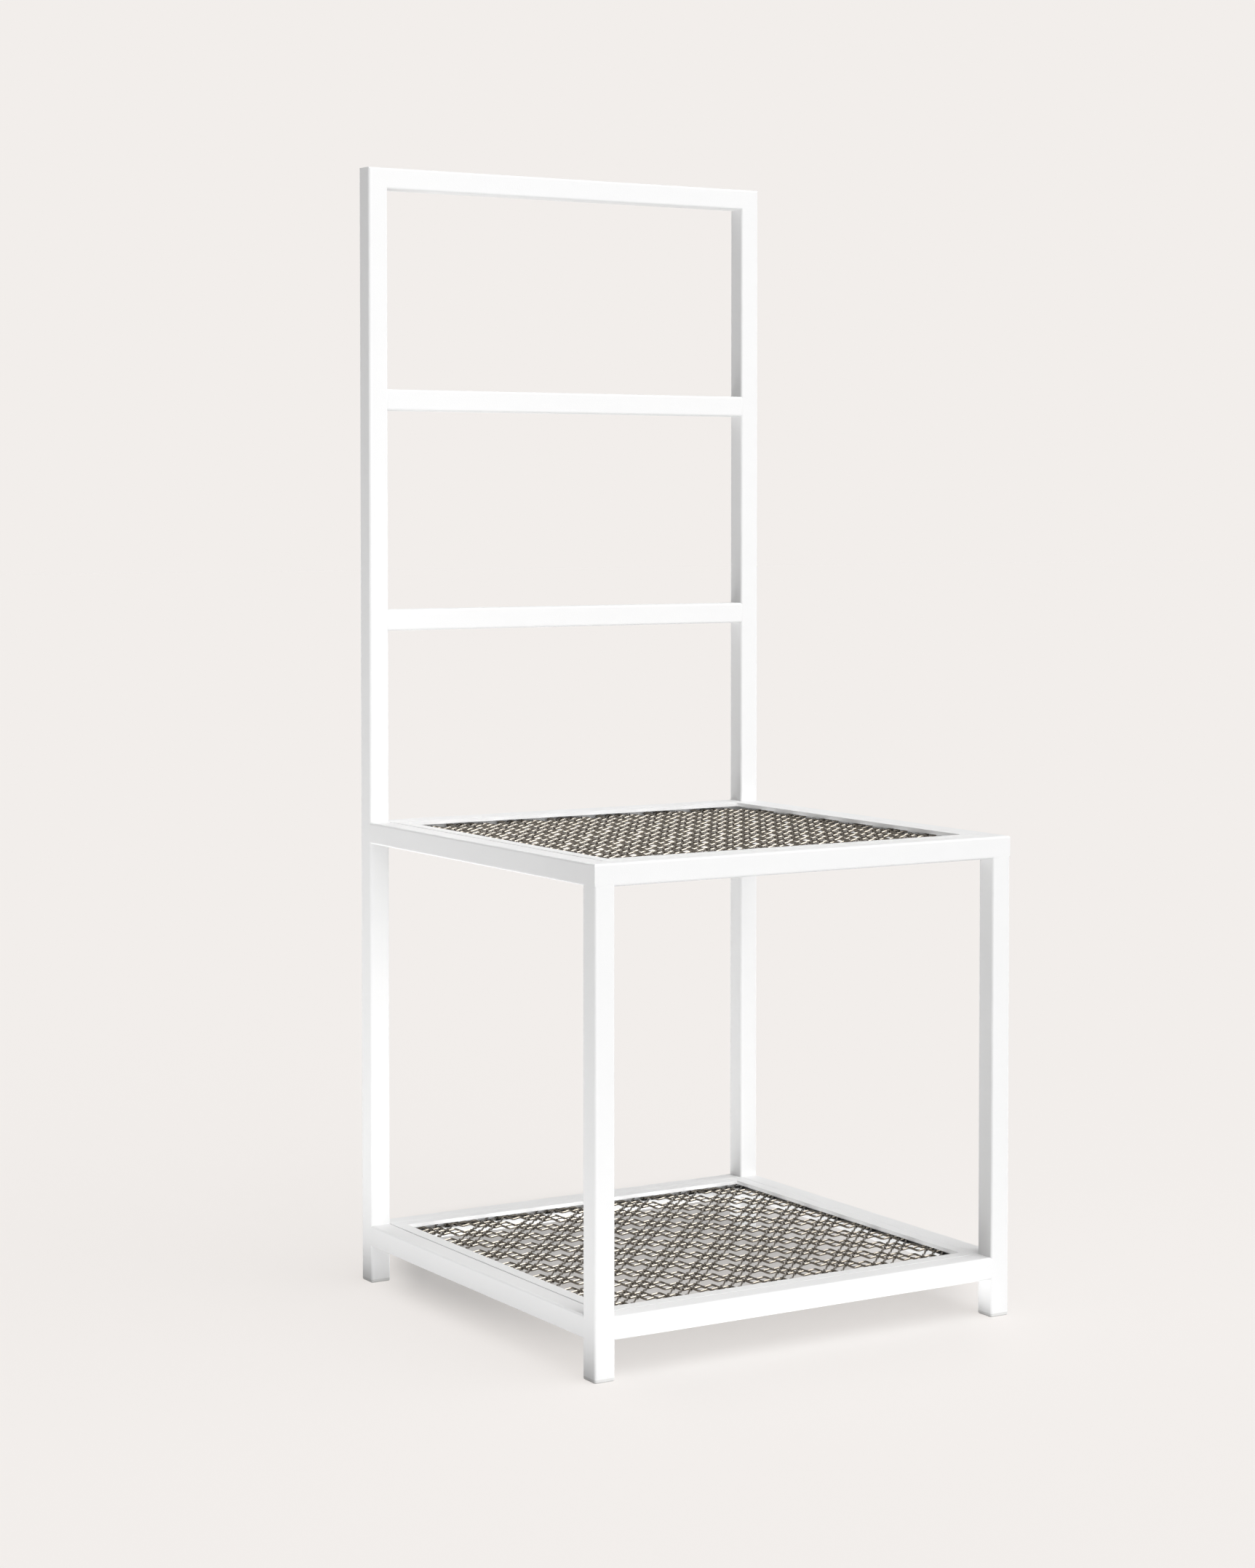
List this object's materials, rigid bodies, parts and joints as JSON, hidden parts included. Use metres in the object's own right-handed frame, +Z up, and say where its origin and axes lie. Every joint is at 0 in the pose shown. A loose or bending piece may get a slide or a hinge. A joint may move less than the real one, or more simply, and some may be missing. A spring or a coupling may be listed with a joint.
{
  "type": "dining chair",
  "caption": "Straight high-backed dining chair of white square steel tube with a woven wire seat and a matching woven wire shelf near the floor.",
  "frame": {"origin": "on the floor under the middle of the chair's width and depth", "axes": "+Z up, -Y the way a sitter faces, +X to the right as seen from the front"},
  "size_m": [0.44, 0.43, 1.055],
  "materials": {
    "frame_white": "white powder coat, satin",
    "mesh_wire": "bright drawn wire",
    "ledge_black": "black paint, matt",
    "foot_plastic": "light grey moulded plastic"
  },
  "bodies": {
    "root": {"rear_left_post": "frame_white", "front_left_leg": "frame_white", "rear_right_post": "frame_white", "front_right_leg": "frame_white", "back_top_rail": "frame_white", "back_upper_rung": "frame_white", "back_lower_rung": "frame_white", "seat_front_rail": "frame_white", "seat_front_strip": "frame_white", "seat_front_ledge": "ledge_black", "seat_right_rail": "frame_white", "seat_right_strip": "frame_white", "seat_right_ledge": "ledge_black", "seat_rear_rail": "frame_white", "seat_rear_strip": "frame_white", "seat_rear_ledge": "ledge_black", "seat_left_rail": "frame_white", "seat_left_strip": "frame_white", "seat_left_ledge": "ledge_black", "seat_mesh_warp_wires": "mesh_wire", "seat_mesh_weft_wires": "mesh_wire", "shelf_front_rail": "frame_white", "shelf_front_strip": "frame_white", "shelf_front_ledge": "ledge_black", "shelf_right_rail": "frame_white", "shelf_right_strip": "frame_white", "shelf_right_ledge": "ledge_black", "shelf_rear_rail": "frame_white", "shelf_rear_strip": "frame_white", "shelf_rear_ledge": "ledge_black", "shelf_left_rail": "frame_white", "shelf_left_strip": "frame_white", "shelf_left_ledge": "ledge_black", "shelf_mesh_warp_wires": "mesh_wire", "shelf_mesh_weft_wires": "mesh_wire", "front_left_foot": "foot_plastic", "front_right_foot": "foot_plastic", "rear_left_foot": "foot_plastic", "rear_right_foot": "foot_plastic"}
  },
  "joints": []
}
